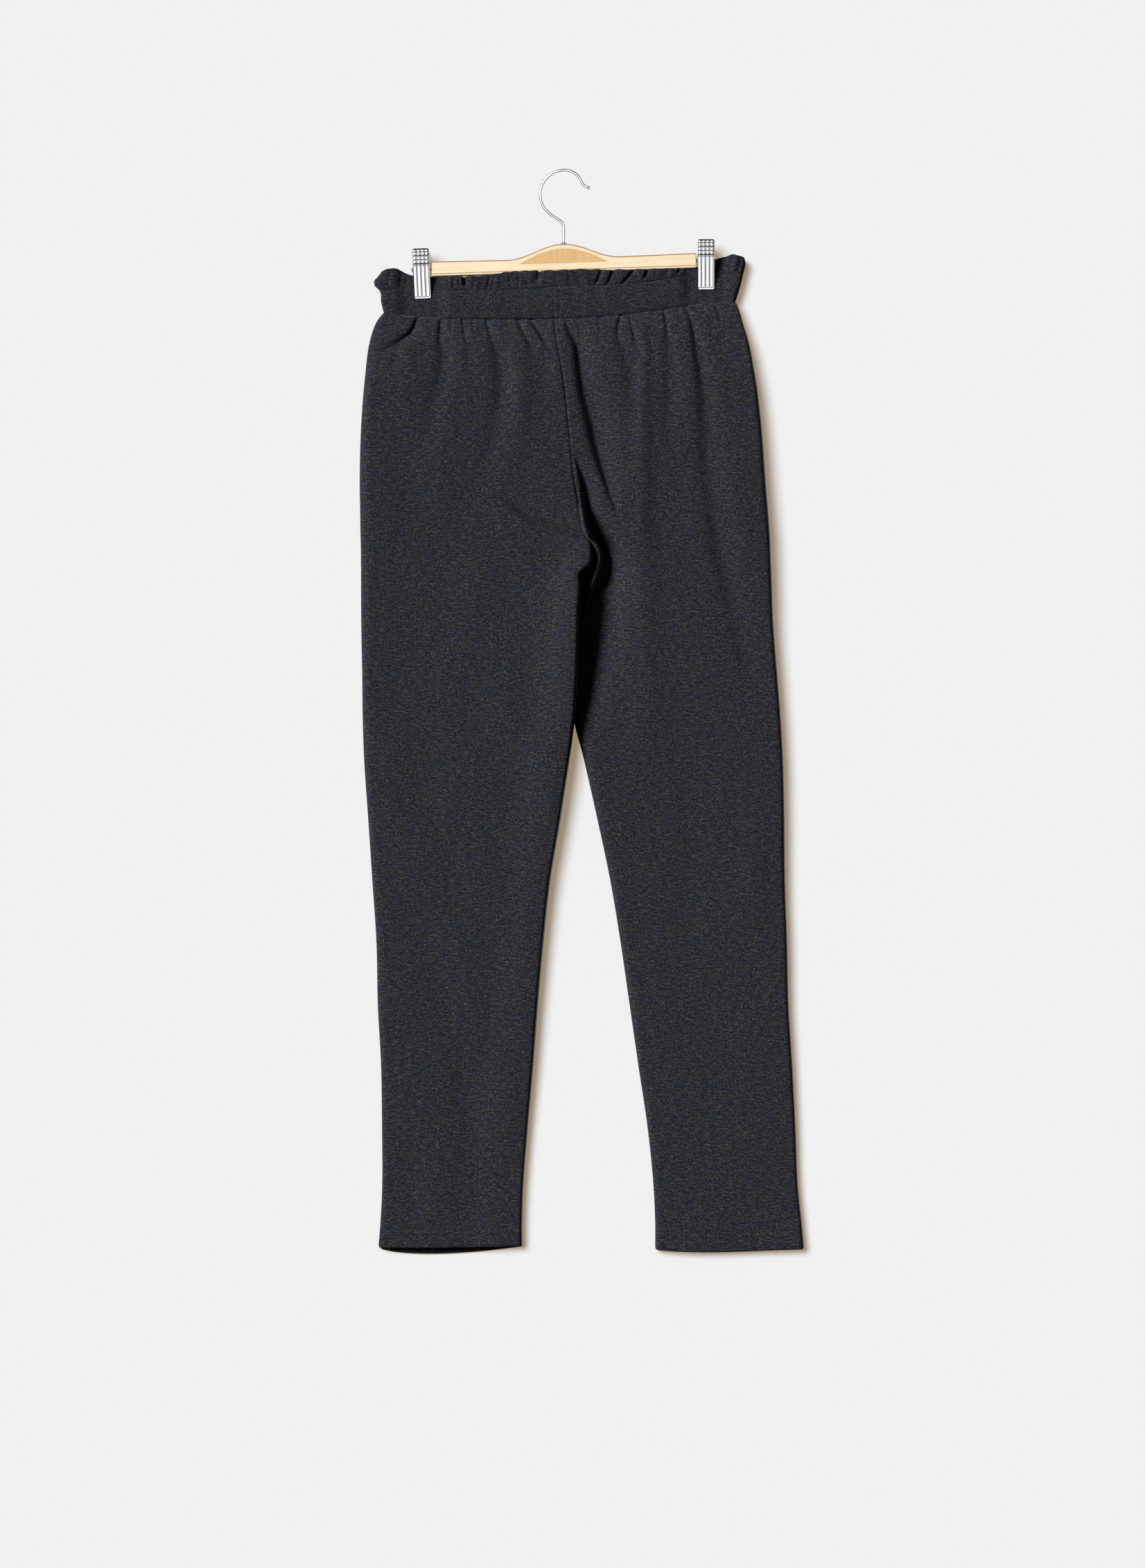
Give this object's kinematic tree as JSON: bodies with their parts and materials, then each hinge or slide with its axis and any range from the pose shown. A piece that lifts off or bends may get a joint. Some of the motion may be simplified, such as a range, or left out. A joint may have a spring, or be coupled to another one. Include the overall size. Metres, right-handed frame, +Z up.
{
  "type": "jogging bottoms on a clip hanger",
  "caption": "Slim charcoal jogging bottoms with a ruffled elastic waistband, hung upright by the waist from a humped wooden hanger with a wire hook and sprung metal clips.",
  "frame": {"origin": "underside of the top of the hanger's hook, where a rail carries it", "axes": "+Z up, +X to the wearer's right seen from behind, +Y from the seat of the trousers towards their front"},
  "size_m": [0.4459, 0.0407, 1.0952],
  "materials": {
    "jersey": "brushed-back sweat jersey, charcoal melange",
    "beech": "clear satin lacquer",
    "inlay_wood": "clear satin lacquer, grain upright",
    "chrome": "bright plate",
    "steel": "drawn wire, zinc plated"
  },
  "bodies": {
    "root": {"back_left": "jersey", "back_right": "jersey", "front_left": "jersey", "front_right": "jersey", "waistband": "jersey", "bar": "beech", "inlay": "inlay_wood", "hook": "chrome", "ferrule": "chrome", "clip_left_front": "chrome", "clip_left_back": "chrome", "clip_left_axle": "steel", "clip_left_spring": "steel", "clip_right_front": "chrome", "clip_right_back": "chrome", "clip_right_axle": "steel", "clip_right_spring": "steel"}
  },
  "joints": []
}
